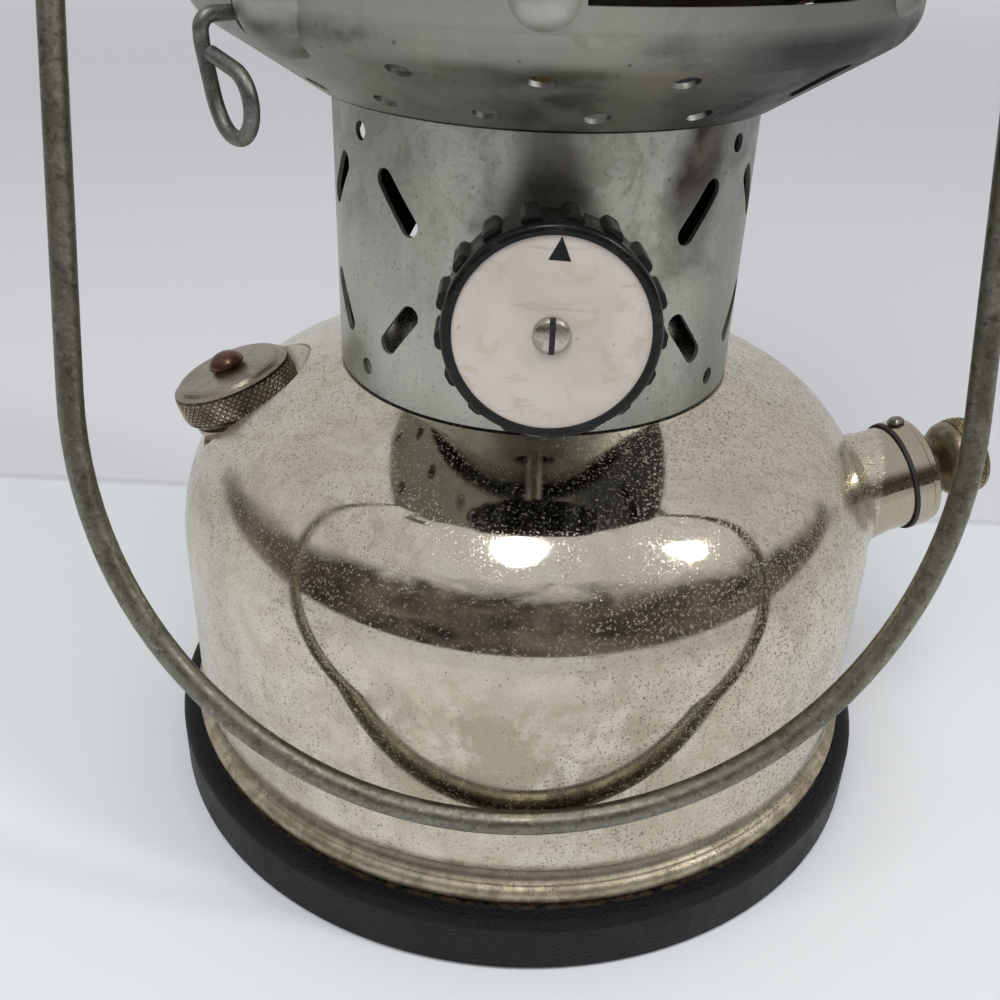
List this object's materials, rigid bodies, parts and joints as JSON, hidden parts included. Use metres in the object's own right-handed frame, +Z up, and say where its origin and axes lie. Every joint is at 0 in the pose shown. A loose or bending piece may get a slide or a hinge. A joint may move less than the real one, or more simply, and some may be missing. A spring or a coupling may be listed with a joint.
{
  "type": "gasoline lantern",
  "caption": "Nickel-plated gasoline lantern with a pump, a knurled filler cap, a slotted collar, a pierced burner dish, a ribbed valve knob, a glass globe and a wire bail",
  "frame": {"origin": "on the resting plane, on the fount's axis", "axes": "+Z up, the valve knob faces -Y, the pump is at +X and the filler at -X"},
  "size_m": [0.2005, 0.1766, 0.3688],
  "materials": {
    "rubber": "matte",
    "nickel": "worn mirror",
    "nickel_bottom": "dull",
    "nickel_worn": "worn knurl",
    "rust_brown": "rusted",
    "brass": "dull",
    "generator_brass": "heat stained",
    "seal_black": "matte",
    "screw_steel": "dull",
    "rod_steel": "dull",
    "leather": "oiled",
    "pump_knob_worn": "worn",
    "knob_black": "satin",
    "disc_white": "worn",
    "zinc": "galvanised",
    "zinc_dish": "stained galvanised",
    "zinc_hood": "galvanised",
    "cast_grey": "burnt",
    "mantle_white": "ash",
    "glass_clear": "clear",
    "wire_dark": "dull",
    "wire_lever": "dull"
  },
  "bodies": {
    "base": {"base_ring": "rubber", "fount_shell": "nickel", "pump_tube": "nickel", "pump_cap": "nickel", "fount_bottom": "nickel_bottom", "filler_neck": "nickel_bottom", "check_valve": "brass", "fuel_tube": "brass", "valve_body": "brass", "packing_nut": "brass", "dish_nut": "brass", "cleaner_block": "brass", "generator_nut": "brass", "generator": "generator_brass", "pump_seal": "seal_black", "pump_cap_screws": "screw_steel", "center_stud": "rod_steel", "collar": "zinc", "frame_posts": "zinc", "dish": "zinc_dish", "air_tube": "zinc_dish", "vent_band": "zinc_hood", "ventilator": "zinc_hood", "mixing_head": "cast_grey", "burner_caps": "cast_grey", "mantles": "mantle_white", "globe": "glass_clear"},
    "valve": {"valve_stem": "rod_steel", "valve_knob": "knob_black", "direction_disc": "disc_white", "knob_screw": "screw_steel"},
    "filler_core": {"filler_insert": "brass", "filler_gasket": "seal_black", "filler_screw": "rust_brown"},
    "filler_shell": {"filler_cap": "nickel_worn"},
    "plunger": {"plunger_rod": "rod_steel", "pump_leather": "leather", "pump_knob": "pump_knob_worn"},
    "bail": {"bail": "wire_dark"},
    "lever": {"cleaning_lever": "wire_lever"},
    "ball_nut": {"ball_nut": "zinc_hood"}
  },
  "joints": [
    {"name": "valve_turn", "type": "hinge", "parent": "base", "child": "valve", "pos_m": [0, -0.05987, 0.13497], "axis": [0, -0.9979, 0.0645], "range_deg": [0, 360]},
    {"name": "filler_lift", "type": "slide", "parent": "base", "child": "filler_core", "axis": [-0.3289, 0, 0.9444], "range_m": [0, 0.045]},
    {"name": "filler_turn", "type": "hinge", "parent": "filler_core", "child": "filler_shell", "pos_m": [-0.0674, 0, 0.0871], "axis": [-0.3289, 0, 0.9444], "continuous": true},
    {"name": "pump_stroke", "type": "slide", "parent": "base", "child": "plunger", "axis": [0.9509, 0.2126, 0.225], "range_m": [0, 0.06]},
    {"name": "bail_swing", "type": "hinge", "parent": "base", "child": "bail", "pos_m": [0, 0, 0.296], "axis": [-1, 0, 0], "range_deg": [0, 322]},
    {"name": "lever_turn", "type": "hinge", "parent": "base", "child": "lever", "pos_m": [0, 0, 0.182], "axis": [-0.7466, -0.6652, 0], "range_deg": [0, 180]},
    {"name": "ball_nut_turn", "type": "hinge", "parent": "base", "child": "ball_nut", "pos_m": [0, 0, 0.355], "axis": [0, 0, 1], "continuous": true}
  ]
}
